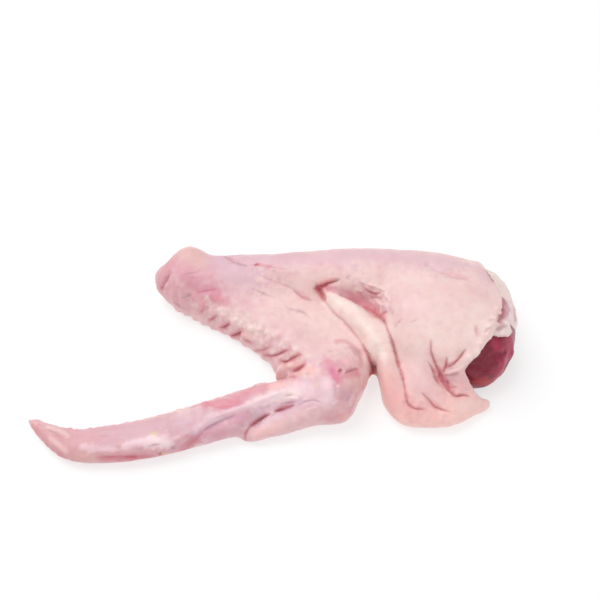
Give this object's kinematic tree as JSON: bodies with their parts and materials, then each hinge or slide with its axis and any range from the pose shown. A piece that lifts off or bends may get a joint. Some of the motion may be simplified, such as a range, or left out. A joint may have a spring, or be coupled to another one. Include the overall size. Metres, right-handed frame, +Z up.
{
  "type": "duck wing",
  "caption": "Raw whole duck wing lying folded in a Z: skin-covered upper arm, forearm and hand with its thumb, loose shoulder skin in rolled folds, and the dark muscle showing at the cut.",
  "frame": {"origin": "middle of the bounding box on the surface that the wing lies on", "axes": "+Z up from that surface, +X towards the cut shoulder end along the wing's length, +Y towards the upper arm"},
  "size_m": [0.1714, 0.0864, 0.0279],
  "materials": {
    "skin": "raw poultry skin, pale pink, moist, satin",
    "muscle": "raw dark red muscle, moist, semi-gloss",
    "membrane": "pale grey-pink silverskin, moist, semi-gloss"
  },
  "bodies": {
    "root": {"skin": "skin", "shoulder_muscle": "muscle", "silverskin": "membrane"}
  },
  "joints": []
}
